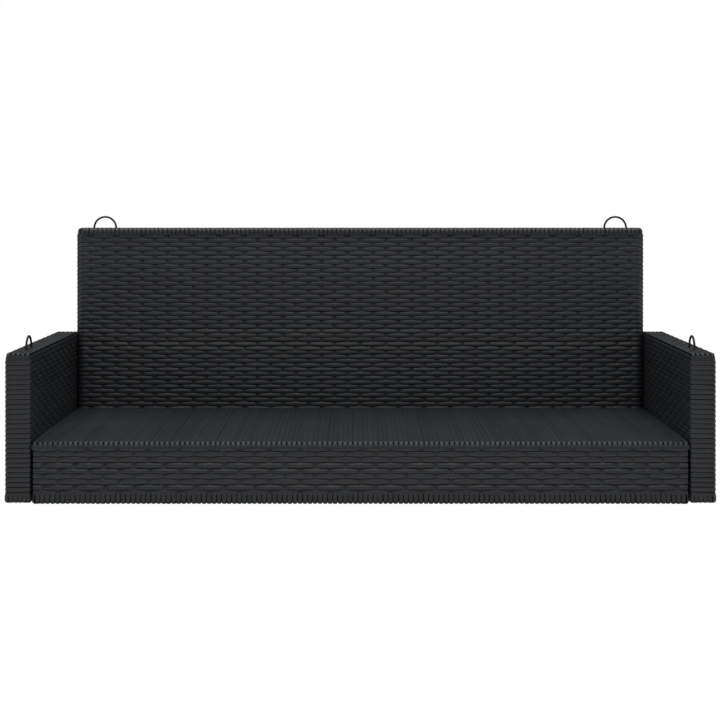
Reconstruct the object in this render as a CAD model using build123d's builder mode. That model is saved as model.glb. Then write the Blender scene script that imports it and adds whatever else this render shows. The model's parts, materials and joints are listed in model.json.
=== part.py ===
"""Woven porch swing bench: a back, a seat and two arms, each a steel tube frame under a woven cover.

Millimetres, +Z up. The front of the bench faces -Y. The origin is on the surface that the bench
stands on, at the centre of its width and depth. Left is -X and right is +X, as seen from the front.
"""
from build123d import *
import os

os.makedirs("parts", exist_ok=True)

# ---- overall sizes ----
bench_width = 1560.0
bench_depth = 600.0
back_height = 592.0
arm_height = 326.0
arm_thickness = 57.0
seat_height = 136.0

# ---- tubes ----
arm_tube = 16.0
arm_wall = 1.2
back_tube = 32.0
back_wall = 1.5
mullion_tube = 19.0
mullion_wall = 1.2
seat_tube = 22.0
seat_wall = 1.5
seat_bar_tube = 16.0
seat_bar_wall = 1.2
weld_setback = 3.0          # a coped tube starts this far past the axis of the tube that it meets

# ---- woven covers ----
weave_thickness = 4.0
weave_gap = 0.2             # between a cover and the tube that it is wrapped on
rim_depth = 15.6            # how far the strips of a rim reach down the faces
rim_edge_radius = 10.0
module_gap = 0.5            # between the back and the pieces around it
seat_end_gap = 2.0          # between the seat and each arm
side_wrap_depth = 30.0      # how far the seat's weave reaches down its two ends

# ---- hanging loops ----
loop_rod = 5.0
loop_bend_radius = 28.0     # to the middle of the rod
loop_stand = 33.0           # from the cover to the top of the loop
loop_hole_clearance = 0.5
back_loop_inset = 127.0     # from the bench's side to the middle of a back loop
arm_loop_inset = 115.0      # from the bench's front to the middle of an arm loop
bridge_length = 80.0
bridge_height = 5.0
bridge_foot = 8.0           # how far the bridge lies below the top of the arm's tubes

# ---- stiffeners ----
mullion_count = 3
seat_bar_count = 5
apron_post_count = 5
cross_piece_tube = 12.0
cross_piece_wall = 1.2
cross_piece_inset = 60.0    # from the arm's two ends
bolt_rail_height = 90.0     # axis of the rails that the modules are bolted through

# ---- fastenings ----
tab_thickness = 4.0
tab_width = 40.0
tab_foot = 14.0             # below the bolt
tab_reach = 27.0            # the back's tab, in front of the back
bolt_diameter = 6.0
bolt_length = 30.0
bolt_head_diameter = 10.5
bolt_head_height = 3.4
hex_socket = 4.0
hex_socket_depth = 2.0
bolt_clearance = 0.3
thread_clearance = 0.1
washer_diameter = 12.0
washer_thickness = 1.6
nut_body_diameter = 9.0
nut_body_length = 12.0
nut_flange_diameter = 13.0
nut_flange_thickness = 1.0
nut_seat_clearance = 0.1
cover_hole_clearance = 1.0
arm_bolt_insets = (80.0, 290.0, 460.0)   # seat to arm, from the front
back_tab_bolt_inset = 17.0               # back to arm, in front of the back
seat_bolt_insets = (150.0, 540.0)        # seat to back, from each side of the bench

# ---- sizes that follow ----
skin = weave_thickness + weave_gap
arm_offset = skin + arm_tube / 2         # from an arm's face to the axis of the tube behind it
back_offset = skin + back_tube / 2
seat_offset = skin + seat_tube / 2
back_thickness = back_tube + 2 * skin
apron_thickness = seat_tube + 2 * skin

half_width = bench_width / 2
half_depth = bench_depth / 2
arm_inner_face = half_width - arm_thickness
arm_middle = half_width - arm_thickness / 2
arm_outer_tube_x = half_width - arm_offset
arm_inner_tube_x = arm_inner_face + arm_offset
arm_post_y = half_depth - arm_offset
arm_top_rail_z = arm_height - arm_offset
arm_bottom_rail_z = arm_offset

back_half_width = arm_inner_face - module_gap
back_middle_y = half_depth - back_thickness / 2
back_front_y = half_depth - back_thickness
back_post_x = back_half_width - back_offset
back_top_rail_z = back_height - back_offset
back_bottom_rail_z = back_offset
back_loop_x = half_width - back_loop_inset
arm_loop_y = arm_loop_inset - half_depth

seat_half_width = arm_inner_face - seat_end_gap
seat_rear_y = back_front_y - module_gap
seat_front_rail_y = seat_offset - half_depth
seat_rear_rail_y = seat_rear_y - seat_offset
seat_side_rail_x = seat_half_width - seat_offset
seat_rail_z = seat_height - seat_offset
seat_bar_z = seat_height - skin - seat_bar_tube / 2
apron_rail_z = seat_offset

arm_bolt_ys = [inset - half_depth for inset in arm_bolt_insets]
back_tab_bolt_y = back_front_y - back_tab_bolt_inset
side_bolt_ys = arm_bolt_ys + [back_tab_bolt_y]
rear_bolt_xs = [side * (half_width - inset) for inset in seat_bolt_insets for side in (-1, 1)]
side_tab_outer_x = seat_side_rail_x + seat_tube / 2
rear_tab_rear_y = seat_rear_rail_y + seat_tube / 2
nut_hole_radius = nut_flange_diameter / 2 + cover_hole_clearance
SIDES = (("left", -1), ("right", 1))


# ---- ways to make a piece ----
def save(piece, name):
    """Label a finished piece and write its file."""
    piece.part.label = name
    export_step(piece.part, f"parts/{name}.step")


def section_plane(along, start, end):
    """A plane across the run from start to end, facing along the way that extrude then goes."""
    if along == "x":
        return Plane.YZ.offset(start)
    if along == "y":
        return Plane.XZ.offset(-end)
    return Plane.XY.offset(start)


def bars(along, centres, start, end, diameter, wall=0.0, cope=()):
    """Round bars side by side, or tubes where there is a wall, their ends cut to fit other pieces."""
    with BuildPart() as piece:
        with BuildSketch(section_plane(along, start, end)):
            with Locations(*centres):
                Circle(diameter / 2)
                if wall:
                    Circle(diameter / 2 - wall, mode=Mode.SUBTRACT)
        extrude(amount=end - start)
        for other in cope:
            add(other.part, mode=Mode.SUBTRACT)
    return piece


def rim(centre, size, corner_radius, low, high, closed_end, holes=None):
    """A shallow woven rim: a rounded tray, closed at its top or at its bottom."""
    with BuildPart() as piece:
        with BuildSketch(Plane.XY.offset(low)):
            with Locations(centre):
                RectangleRounded(size[0], size[1], corner_radius)
        extrude(amount=high - low)
        closed, opened = (-1, 0) if closed_end == "top" else (0, -1)
        fillet(piece.faces().filter_by(Axis.Z).sort_by(Axis.Z)[closed].edges(), radius=rim_edge_radius)
        offset(amount=-weave_thickness, openings=piece.faces().filter_by(Axis.Z).sort_by(Axis.Z)[opened])
        if holes is not None:
            add(holes.part, mode=Mode.SUBTRACT)
    return piece


def sleeve(centre, size, corner_radius, window_centre, window, low, high, holes=None):
    """The stretch of an upright woven sleeve that lies in one window of its plan."""
    with BuildPart() as piece:
        with BuildSketch(Plane.XY.offset(low)):
            with Locations(centre):
                RectangleRounded(size[0], size[1], corner_radius)
                RectangleRounded(size[0] - 2 * weave_thickness, size[1] - 2 * weave_thickness,
                                 corner_radius - weave_thickness, mode=Mode.SUBTRACT)
            with Locations(window_centre):
                Rectangle(window[0], window[1], mode=Mode.INTERSECT)
        extrude(amount=high - low)
        if holes is not None:
            add(holes.part, mode=Mode.SUBTRACT)
    return piece


def box(low, high, cope=(), holes=None):
    """A plain block between two corners, cut to fit other pieces."""
    with BuildPart() as piece:
        with BuildSketch(Plane.XY.offset(low[2])):
            with Locations(((low[0] + high[0]) / 2, (low[1] + high[1]) / 2)):
                Rectangle(high[0] - low[0], high[1] - low[1])
        extrude(amount=high[2] - low[2])
        for other in cope:
            add(other.part, mode=Mode.SUBTRACT)
        if holes is not None:
            add(holes.part, mode=Mode.SUBTRACT)
    return piece


def hanging_loop(plane, foot, cover_top, cope=()):
    """A bent rod: two straight legs and a half ring. The plane's x runs along the loop."""
    bend_height = cover_top + loop_stand - loop_rod / 2 - loop_bend_radius
    with BuildPart() as piece:
        with BuildLine(plane) as path:
            leg = Line((-loop_bend_radius, foot), (-loop_bend_radius, bend_height))
            bend = CenterArc((0, bend_height), loop_bend_radius, 180, -180)
            Line(bend @ 1, (loop_bend_radius, foot))
        with BuildSketch(Plane(leg @ 0, z_dir=leg % 0)):
            Circle(loop_rod / 2)
        sweep()
        for other in cope:
            add(other.part, mode=Mode.SUBTRACT)
    return piece


# ---- back: frame ----
back_top_axis = [(back_middle_y, back_top_rail_z)]
back_bottom_axis = [(back_middle_y, back_bottom_rail_z)]
back_bolt_axis = [(back_middle_y, bolt_rail_height)]
back_rail_reach = back_post_x
nut_hole_y = bars("y", [(x, bolt_rail_height) for x in rear_bolt_xs], back_front_y, back_middle_y,
                  nut_body_diameter + 2 * nut_seat_clearance)

back_top_solid = bars("x", back_top_axis, -back_rail_reach, back_rail_reach, back_tube)
back_bottom_solid = bars("x", back_bottom_axis, -back_rail_reach, back_rail_reach, back_tube)
back_bolt_solid = bars("x", back_bolt_axis, -back_rail_reach, back_rail_reach, back_tube)

back_top_rail = bars("x", back_top_axis, -back_rail_reach, back_rail_reach, back_tube, back_wall)
save(back_top_rail, "back_top_rail")
back_bottom_rail = bars("x", back_bottom_axis, -back_rail_reach, back_rail_reach, back_tube, back_wall)
save(back_bottom_rail, "back_bottom_rail")

back_post_solids = []
for side, sign in SIDES:
    post_centre = [(sign * back_post_x, back_middle_y)]
    post_low = back_bottom_rail_z + weld_setback
    post_high = back_top_rail_z - weld_setback
    back_post = bars("z", post_centre, post_low, post_high, back_tube, back_wall,
                     cope=[back_top_solid, back_bottom_solid])
    save(back_post, f"back_post_{side}")
    back_post_solids.append(bars("z", post_centre, 0, back_height, back_tube))

back_bolt_rail = bars("x", back_bolt_axis, weld_setback - back_post_x, back_post_x - weld_setback,
                      back_tube, back_wall, cope=back_post_solids + [nut_hole_y])
save(back_bolt_rail, "back_bolt_rail")

mullion_pitch = 2 * back_post_x / (mullion_count + 1)
mullion_centres = [(mullion_pitch * (i + 1) - back_post_x, back_middle_y) for i in range(mullion_count)]
back_mullions = bars("z", mullion_centres, bolt_rail_height + weld_setback, back_top_rail_z - weld_setback,
                     mullion_tube, mullion_wall, cope=[back_top_solid, back_bolt_solid])
save(back_mullions, "back_mullions")

# A steel tab on each end post reaches forward beside the arm and takes one bolt.
side_clearance_holes = bars("x", [(y, bolt_rail_height) for y in side_bolt_ys], -half_width, half_width,
                            bolt_diameter + 2 * bolt_clearance)
tab_top = bolt_rail_height + tab_foot
tab_length = back_middle_y - back_front_y + tab_reach
with BuildPart() as back_tabs:
    for _, sign in SIDES:
        tab_middle = (sign * (side_tab_outer_x - tab_thickness / 2), back_middle_y - tab_length / 2)
        with BuildSketch(Plane.XY.offset(bolt_rail_height - tab_foot)):
            with Locations(tab_middle):
                Rectangle(tab_thickness, tab_length)
        extrude(amount=tab_top - bolt_rail_height + tab_foot)
    for post in back_post_solids:
        add(post.part, mode=Mode.SUBTRACT)
    add(side_clearance_holes.part, mode=Mode.SUBTRACT)
save(back_tabs, "back_tabs")

# ---- back: woven cover ----
back_centre = (0, back_middle_y)
back_size = (2 * back_half_width, back_thickness)
back_corner = back_thickness / 2 - 0.01         # a hair under a full half round
leg_steps = (-loop_bend_radius, loop_bend_radius)
back_leg_xs = [sign * back_loop_x + step for _, sign in SIDES for step in leg_steps]
back_leg_holes = bars("z", [(x, back_middle_y) for x in back_leg_xs], back_top_rail_z, back_height,
                      loop_rod + 2 * loop_hole_clearance)
back_rim_top = rim(back_centre, back_size, back_corner, back_height - rim_depth, back_height, "top",
                   holes=back_leg_holes)
save(back_rim_top, "back_rim_top")
back_rim_bottom = rim(back_centre, back_size, back_corner, 0, rim_depth, "bottom")
save(back_rim_bottom, "back_rim_bottom")

panel_low = rim_depth
back_panel_high = back_height - rim_depth
nut_cover_holes_y = bars("y", [(x, bolt_rail_height) for x in rear_bolt_xs], back_front_y - module_gap,
                         back_middle_y, 2 * nut_hole_radius)
panel_window = (2 * back_post_x, back_thickness / 2)
back_weave_front = sleeve(back_centre, back_size, back_corner,
                          (0, back_middle_y - back_thickness / 4), panel_window,
                          panel_low, back_panel_high, holes=nut_cover_holes_y)
save(back_weave_front, "back_weave_front")
back_weave_rear = sleeve(back_centre, back_size, back_corner,
                         (0, back_middle_y + back_thickness / 4), panel_window,
                         panel_low, back_panel_high)
save(back_weave_rear, "back_weave_rear")

for side, sign in SIDES:
    slot_inner = sign * (side_tab_outer_x - tab_thickness - bolt_clearance)
    slot_xs = sorted((slot_inner, sign * (side_tab_outer_x + bolt_clearance)))
    tab_slot = box((slot_xs[0], back_front_y - module_gap, bolt_rail_height - tab_foot - bolt_clearance),
                   (slot_xs[1], back_middle_y, tab_top + bolt_clearance))
    back_edge = sleeve(back_centre, back_size, back_corner,
                       (sign * (back_post_x + back_offset / 2), back_middle_y),
                       (back_offset, back_thickness), panel_low, back_panel_high, holes=tab_slot)
    save(back_edge, f"back_edge_{side}")

# ---- back: hanging loops, welded to the top rail ----
for side, sign in SIDES:
    loop_plane = Plane(origin=(sign * back_loop_x, back_middle_y, 0), x_dir=(1, 0, 0), z_dir=(0, -1, 0))
    back_loop = hanging_loop(loop_plane, back_top_rail_z, back_height, cope=[back_top_solid])
    save(back_loop, f"back_loop_{side}")

# ---- seat: frame ----
seat_rail_reach = seat_side_rail_x
seat_front_axis = [(seat_front_rail_y, seat_rail_z)]
seat_rear_axis = [(seat_rear_rail_y, seat_rail_z)]
apron_axis = [(seat_front_rail_y, apron_rail_z)]
seat_front_solid = bars("x", seat_front_axis, -seat_rail_reach, seat_rail_reach, seat_tube)
seat_rear_solid = bars("x", seat_rear_axis, -seat_rail_reach, seat_rail_reach, seat_tube)
apron_solid = bars("x", apron_axis, -seat_rail_reach, seat_rail_reach, seat_tube)

for name, axis in (("seat_front_rail", seat_front_axis), ("seat_rear_rail", seat_rear_axis),
                   ("apron_bottom_rail", apron_axis)):
    save(bars("x", axis, -seat_rail_reach, seat_rail_reach, seat_tube, seat_wall), name)

side_rail_solids = []
seat_bar_front = seat_front_rail_y + weld_setback
seat_bar_rear = seat_rear_rail_y - weld_setback
for side, sign in SIDES:
    rail_centre = [(sign * seat_side_rail_x, seat_rail_z)]
    seat_side_rail = bars("y", rail_centre, seat_bar_front, seat_bar_rear, seat_tube, seat_wall,
                          cope=[seat_front_solid, seat_rear_solid])
    save(seat_side_rail, f"seat_side_rail_{side}")
    side_rail_solids.append(bars("y", rail_centre, -half_depth, half_depth, seat_tube))

seat_bar_pitch = 2 * seat_side_rail_x / (seat_bar_count + 1)
seat_bar_xs = [seat_bar_pitch * (i + 1) - seat_side_rail_x for i in range(seat_bar_count)]
seat_bars = bars("y", [(x, seat_bar_z) for x in seat_bar_xs], seat_bar_front, seat_bar_rear,
                 seat_bar_tube, seat_bar_wall, cope=[seat_front_solid, seat_rear_solid])
save(seat_bars, "seat_bars")

apron_post_pitch = 2 * seat_side_rail_x / (apron_post_count - 1)
apron_post_centres = [(apron_post_pitch * i - seat_side_rail_x, seat_front_rail_y)
                      for i in range(apron_post_count)]
apron_posts = bars("z", apron_post_centres, apron_rail_z + weld_setback, seat_rail_z - weld_setback,
                   seat_bar_tube, seat_bar_wall, cope=[seat_front_solid, apron_solid] + side_rail_solids)
save(apron_posts, "apron_posts")

# Flat steel tabs hang from the seat's side and rear rails and take the bolts.
with BuildPart() as seat_tabs:
    for _, sign in SIDES:
        for bolt_y in arm_bolt_ys:
            tab_middle = (sign * (side_tab_outer_x - tab_thickness / 2), bolt_y)
            with BuildSketch(Plane.XY.offset(bolt_rail_height - tab_foot)):
                with Locations(tab_middle):
                    Rectangle(tab_thickness, tab_width)
            extrude(amount=seat_rail_z - bolt_rail_height + tab_foot)
    for bolt_x in rear_bolt_xs:
        with BuildSketch(Plane.XY.offset(bolt_rail_height - tab_foot)):
            with Locations((bolt_x, rear_tab_rear_y - tab_thickness / 2)):
                Rectangle(tab_width, tab_thickness)
        extrude(amount=seat_rail_z - bolt_rail_height + tab_foot)
    for rail in side_rail_solids + [seat_rear_solid]:
        add(rail.part, mode=Mode.SUBTRACT)
    add(side_clearance_holes.part, mode=Mode.SUBTRACT)
    with BuildSketch(Plane.XZ.offset(-back_front_y)):
        with Locations(*[(x, bolt_rail_height) for x in rear_bolt_xs]):
            Circle(bolt_diameter / 2 + bolt_clearance)
    extrude(amount=back_front_y - seat_rear_rail_y, mode=Mode.SUBTRACT)
save(seat_tabs, "seat_tabs")

# ---- seat: woven cover ----
seat_weave = box((-seat_half_width, seat_front_rail_y, seat_height - weave_thickness),
                 (seat_half_width, seat_rear_y, seat_height))
save(seat_weave, "seat_weave")

with BuildPart() as seat_nosing:
    with BuildSketch(Plane.YZ.offset(-seat_half_width)):
        with Locations((seat_front_rail_y, seat_rail_z)):
            Circle(seat_offset)
            Circle(seat_offset - weave_thickness, mode=Mode.SUBTRACT)
        with Locations((seat_front_rail_y - seat_offset / 2, seat_rail_z + seat_offset / 2)):
            Rectangle(seat_offset, seat_offset, mode=Mode.INTERSECT)
    extrude(amount=2 * seat_half_width)
save(seat_nosing, "seat_nosing")

apron_weave = box((-seat_half_width, -half_depth, rim_depth),
                  (seat_half_width, weave_thickness - half_depth, seat_rail_z))
save(apron_weave, "apron_weave")
apron_rim_bottom = rim((0, seat_front_rail_y), (2 * seat_half_width, apron_thickness),
                       apron_thickness / 2 - 0.01, 0, rim_depth, "bottom")
save(apron_rim_bottom, "apron_rim_bottom")

for side, sign in SIDES:
    xs = sorted((sign * seat_half_width, sign * (seat_half_width - weave_thickness)))
    seat_side_weave = box((xs[0], seat_front_rail_y, seat_height - side_wrap_depth),
                          (xs[1], seat_rear_y, seat_height - weave_thickness))
    save(seat_side_weave, f"seat_side_weave_{side}")

# ---- arms ----
for side, sign in SIDES:
    inner_x = sign * arm_inner_tube_x
    outer_x = sign * arm_outer_tube_x
    tube_xs = (inner_x, outer_x)
    middle_x = sign * arm_middle
    top_axes = [(x, arm_top_rail_z) for x in tube_xs]
    bottom_axes = [(x, arm_bottom_rail_z) for x in tube_xs]
    reach = arm_post_y
    rail_solids = [bars("y", axes, -reach, reach, arm_tube) for axes in (top_axes, bottom_axes)]

    save(bars("y", top_axes, -reach, reach, arm_tube, arm_wall), f"arm_{side}_top_rails")
    save(bars("y", bottom_axes, -reach, reach, arm_tube, arm_wall), f"arm_{side}_bottom_rails")

    post_low = arm_bottom_rail_z + weld_setback
    post_high = arm_top_rail_z - weld_setback
    for end, end_sign in (("front", -1), ("rear", 1)):
        post_centres = [(x, end_sign * arm_post_y) for x in tube_xs]
        arm_posts = bars("z", post_centres, post_low, post_high, arm_tube, arm_wall, cope=rail_solids)
        save(arm_posts, f"arm_{side}_{end}_posts")

    # The inner frame's middle rail holds the nuts that the seat and the back are bolted to.
    nut_xs = sorted((sign * arm_inner_face, inner_x))
    nut_holes = bars("x", [(y, bolt_rail_height) for y in side_bolt_ys], nut_xs[0], nut_xs[1],
                     nut_body_diameter + 2 * nut_seat_clearance)
    inner_post_solid = bars("z", [(inner_x, -arm_post_y), (inner_x, arm_post_y)], 0, arm_height, arm_tube)
    arm_bolt_rail = bars("y", [(inner_x, bolt_rail_height)], weld_setback - arm_post_y,
                         arm_post_y - weld_setback, arm_tube, arm_wall, cope=[inner_post_solid, nut_holes])
    save(arm_bolt_rail, f"arm_{side}_bolt_rail")

    # Short tubes hold the inner and outer frames apart.
    cross_y = half_depth - cross_piece_inset
    cross_places = [(y, z) for y in (-cross_y, cross_y) for z in (arm_bottom_rail_z, arm_top_rail_z)]
    cross_xs = sorted(tube_xs)
    cross_pieces = bars("x", cross_places, cross_xs[0] + weld_setback, cross_xs[1] - weld_setback,
                        cross_piece_tube, cross_piece_wall, cope=rail_solids)
    save(cross_pieces, f"arm_{side}_cross_pieces")

    # A flat bar bridges the two top rails and carries the hanging loop.
    bridge_top = arm_top_rail_z + arm_tube / 2 - bridge_foot
    bridge = box((cross_xs[0], arm_loop_y - bridge_length / 2, bridge_top - bridge_height),
                 (cross_xs[1], arm_loop_y + bridge_length / 2, bridge_top), cope=rail_solids)
    save(bridge, f"arm_{side}_loop_bridge")

    loop_plane = Plane(origin=(middle_x, arm_loop_y, 0), x_dir=(0, 1, 0), z_dir=(1, 0, 0))
    save(hanging_loop(loop_plane, bridge_top, arm_height), f"arm_{side}_loop")

    # Woven cover: a rim along the top and the bottom, and a sleeve of four stretches between them.
    arm_centre = (middle_x, 0)
    arm_size = (arm_thickness, bench_depth)
    leg_holes = bars("z", [(middle_x, arm_loop_y + step) for step in leg_steps],
                     arm_top_rail_z, arm_height, loop_rod + 2 * loop_hole_clearance)
    save(rim(arm_centre, arm_size, arm_offset, arm_height - rim_depth, arm_height, "top", holes=leg_holes),
         f"arm_{side}_rim_top")
    save(rim(arm_centre, arm_size, arm_offset, 0, rim_depth, "bottom"), f"arm_{side}_rim_bottom")

    side_nut_xs = sorted((sign * (arm_inner_face - module_gap), inner_x))
    cover_holes = bars("x", [(y, bolt_rail_height) for y in side_bolt_ys], side_nut_xs[0], side_nut_xs[1],
                       2 * nut_hole_radius)
    flat_window = (arm_thickness / 2, 2 * arm_post_y)
    end_window = (arm_thickness, arm_offset)
    stretches = (
        ("weave_outer", (middle_x + sign * arm_thickness / 4, 0), flat_window, None),
        ("weave_inner", (middle_x - sign * arm_thickness / 4, 0), flat_window, cover_holes),
        ("weave_front", (middle_x, -arm_post_y - arm_offset / 2), end_window, None),
        ("weave_rear", (middle_x, arm_post_y + arm_offset / 2), end_window, None),
    )
    for stretch, window_centre, window, holes in stretches:
        arm_weave = sleeve(arm_centre, arm_size, arm_offset, window_centre, window,
                           rim_depth, arm_height - rim_depth, holes=holes)
        save(arm_weave, f"arm_{side}_{stretch}")


# ---- fasteners ----
def fastener_planes():
    """One plane for each bolt: its origin on the tab, under the washer, and facing the nut."""
    planes = []
    for _, sign in SIDES:
        for bolt_y in side_bolt_ys:
            tab_face = sign * (side_tab_outer_x - tab_thickness)
            planes.append(Plane(origin=(tab_face, bolt_y, bolt_rail_height), z_dir=(sign, 0, 0)))
    for bolt_x in rear_bolt_xs:
        tab_face = rear_tab_rear_y - tab_thickness
        planes.append(Plane(origin=(bolt_x, tab_face, bolt_rail_height), z_dir=(0, 1, 0)))
    return planes


def nut_face_distance(plane):
    """From a bolt's tab to the tube that holds its nut."""
    if abs(plane.z_dir.X) > 0.5:
        return arm_inner_tube_x - arm_tube / 2 - side_tab_outer_x + tab_thickness
    return back_middle_y - back_tube / 2 - rear_tab_rear_y + tab_thickness


with BuildPart() as washers:
    for plane in fastener_planes():
        with BuildSketch(plane):
            Circle(washer_diameter / 2)
            Circle(bolt_diameter / 2 + bolt_clearance, mode=Mode.SUBTRACT)
        extrude(amount=-washer_thickness)
save(washers, "washers")

with BuildPart() as bolts:
    for plane in fastener_planes():
        with BuildSketch(plane.offset(-washer_thickness)):
            Circle(bolt_diameter / 2)
        extrude(amount=bolt_length)
        with BuildSketch(plane.offset(-washer_thickness)):
            Circle(bolt_head_diameter / 2)
        extrude(amount=-bolt_head_height)
        with BuildSketch(plane.offset(-washer_thickness - bolt_head_height)):
            RegularPolygon(hex_socket / 2, 6, major_radius=False)
        extrude(amount=hex_socket_depth, mode=Mode.SUBTRACT)
save(bolts, "bolts")

with BuildPart() as insert_nuts:
    for plane in fastener_planes():
        seat_plane = plane.offset(nut_face_distance(plane))
        with BuildSketch(seat_plane):
            Circle(nut_body_diameter / 2)
            Circle(bolt_diameter / 2 + thread_clearance, mode=Mode.SUBTRACT)
        extrude(amount=nut_body_length)
        with BuildSketch(seat_plane):
            Circle(nut_flange_diameter / 2)
            Circle(bolt_diameter / 2 + thread_clearance, mode=Mode.SUBTRACT)
        extrude(amount=-nut_flange_thickness)
save(insert_nuts, "insert_nuts")
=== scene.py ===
"""Looks for the woven porch swing bench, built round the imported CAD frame.

Everything is in metres in the frame's own axes: +Z up, and the front of the bench faces -Y.
Each woven cover of the CAD model is replaced by real strips: wefts that go over and under upright or
crosswise warps, and strips wrapped over the rims. The steel frame and the loops are the CAD nodes.
"""
import json
import math

import bpy
import numpy as np
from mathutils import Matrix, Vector


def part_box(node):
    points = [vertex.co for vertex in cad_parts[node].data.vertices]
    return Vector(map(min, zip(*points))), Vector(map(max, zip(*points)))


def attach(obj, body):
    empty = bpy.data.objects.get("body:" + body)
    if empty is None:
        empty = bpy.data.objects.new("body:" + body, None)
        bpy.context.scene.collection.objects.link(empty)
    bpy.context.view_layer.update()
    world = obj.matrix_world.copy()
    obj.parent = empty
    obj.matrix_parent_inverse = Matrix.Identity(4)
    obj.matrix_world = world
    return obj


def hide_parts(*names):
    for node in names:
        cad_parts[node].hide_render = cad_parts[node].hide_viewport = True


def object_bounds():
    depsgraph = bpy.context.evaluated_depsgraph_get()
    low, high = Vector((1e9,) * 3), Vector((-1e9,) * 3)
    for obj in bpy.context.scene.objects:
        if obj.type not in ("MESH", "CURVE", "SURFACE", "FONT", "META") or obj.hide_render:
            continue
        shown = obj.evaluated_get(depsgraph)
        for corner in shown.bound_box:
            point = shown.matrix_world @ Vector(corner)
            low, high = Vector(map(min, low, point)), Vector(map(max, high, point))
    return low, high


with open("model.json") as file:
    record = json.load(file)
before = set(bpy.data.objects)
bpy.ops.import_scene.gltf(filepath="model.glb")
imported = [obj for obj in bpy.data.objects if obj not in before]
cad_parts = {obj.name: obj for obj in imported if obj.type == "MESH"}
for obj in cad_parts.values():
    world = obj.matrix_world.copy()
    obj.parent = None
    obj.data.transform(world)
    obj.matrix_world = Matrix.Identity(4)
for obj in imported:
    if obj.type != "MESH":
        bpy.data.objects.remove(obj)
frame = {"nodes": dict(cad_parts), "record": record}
cad_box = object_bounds()

# ---- the weave ----
STRIP_THICKNESS = 0.0012
STRIP_CROWN = 0.0012        # how far a strip's middle stands above its edges
FLAT_CROWN = 0.0001         # the same where strips are pulled tight over the seat
WEAVE_TOP = 0.0025          # from the weave's middle plane to the crown of a strip over a warp
WEFT_PLATEAU = 0.0004       # a weft's height between warps
OVER_RISE = 0.0003          # extra height where it passes over a warp
UNDER_DIP = 0.0015          # how far it drops where it passes under one
OVER_REACH = 0.0045         # how far along the weft the rise and the dip are felt
UNDER_REACH = 0.0068
SPREAD_REACH = 1.3 * UNDER_REACH    # and how far it is wider
WEFT_LAP = 1.07             # a weft's width, as a share of its row
WEFT_SPREAD = 0.15          # how much wider it gets over a warp
WEFT_DRAW = 0.01            # and narrower under one
WEFT_FLATTEN = 0.6          # how much of its crown it loses there
WARP_WIDTH = 0.0052
WARP_THICKNESS = 0.0010
WARP_CROWN = 0.0004
WARP_SWING = 0.0001         # a warp's rise and fall
WRAP_THICKNESS = 0.0024     # wraps on the bottom rims, which are fuller

# Slight unevenness: wander and lift in metres, twist in radians.
WEFT_WANDER = 0.00022
WRAP_WANDER = 0.0003
WRAP_LIFT = 0.0001
WEFT_TWIST = 0.03
ROW_TWIST = 0.02
WRAP_TWIST = 0.020

# ---- the back ----
BACK_ROW = 0.01096          # pitch of the wefts; the apron's and arms' values are named alike
BACK_WARP = 0.03315         # pitch of the warps
BACK_CROWN = 0.0007
BACK_RIM_TOP = 0.0163       # how far the top rim's wraps come down over the faces
BACK_RIM_BOTTOM = 0.0088    # and the bottom rim's come up
BACK_BANDS = 4              # pieces that the rows are split into, to keep each mesh small
BACK_PRESS = 0.0030         # how far the sleeve's ends are pushed out against the arms

# ---- the apron and the seat ----
APRON_ROW = 0.01205
APRON_WARP = 0.0334
APRON_RIM = 0.0189
APRON_CORNER = 0.006        # plan radius of its rim's ends
APRON_DROP = 0.0028         # how far the apron's wraps hang below the CAD skin
APRON_BELOW_NOSE = 0.011    # the apron's highest row ends this far below the seat's top
SEAT_STRIP = 0.01114        # pitch of the strips, which run from front to rear
SEAT_LAP = 1.24             # a seat strip's width, as a share of its pitch
SEAT_THICKNESS = 0.0007
SEAT_CROSS = 0.0334         # pitch of the cross strips under it
SEAT_CROSS_WIDTH = 0.0075
NOSE_BEND = 0.0120          # the seat's front edge
NOSE_DROP = 0.0024          # how far the seat comes down towards it
NOSE_RUN = 0.14             # and over what length
NOSE_PROUD = 0.0009         # how far it stands out past the CAD skin
NOSE_GAP = 0.50             # how much narrower its strips are at the bend
NOSE_GAP_REACH = 0.0042
NOSE_DEPTH = 0.0170         # how far its strips come down in front
NOSE_TUCK = 0.0040          # how far their lower ends then turn in behind the apron
NOSE_TAIL = 0.0035          # and further down
REAR_DEPTH = 0.028          # how far they come down behind
REAR_BEND = 0.005
NOSE_EASE = 0.3             # the wide bend where the seat starts to come down
CROSS_DEPTH = 0.0006        # how far below the strips the cross strips lie
SIDE_TURN = 0.020           # how far in from the side rails the side wraps start

# ---- the arms ----
ARM_ROW = 0.01057
ARM_WARP = 0.0280
ARM_RIM_TOP = 0.0161
ARM_RIM_BOTTOM = 0.0132
ARM_CORNER = 0.0080         # plan radius of the arms' corners
ARM_TOP_STRIPS = 5
ARM_TOP_CROWN = 0.0006
ARM_TOP_LAP = 1.02
ARM_TOP_DEPTH = 0.7         # how strongly its strips go over and under, as a share of the walls'
ARM_TOP_BEND = 0.007        # over the arm's front and rear
ARM_TOP_GATHER = 0.32       # how much narrower its strips are there
ARM_TOP_DRAW = 0.16         # and under a warp
ARM_TOP_FLATTEN = 0.5       # how much of their crown they lose under one
ARM_TOP_SWING = 0.0006      # its warps' rise and fall
ARM_TOP_WARP_INSET = 0.001  # how far inside the strips they lie
ARM_TOP_WARP_DEPTH = 0.016  # and how far down they reach
ARM_RING_WIDTH = 0.0108     # the strip that runs round the arm below its top
ARM_RING_RISE = 0.0048      # how far above the walls' last row it runs
ARM_RING_INSET = 0.0012     # and how far inside them
ARM_SIDE_PROUD = 0.0015     # how far the arms' outer sides stand out past the CAD skin

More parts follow.
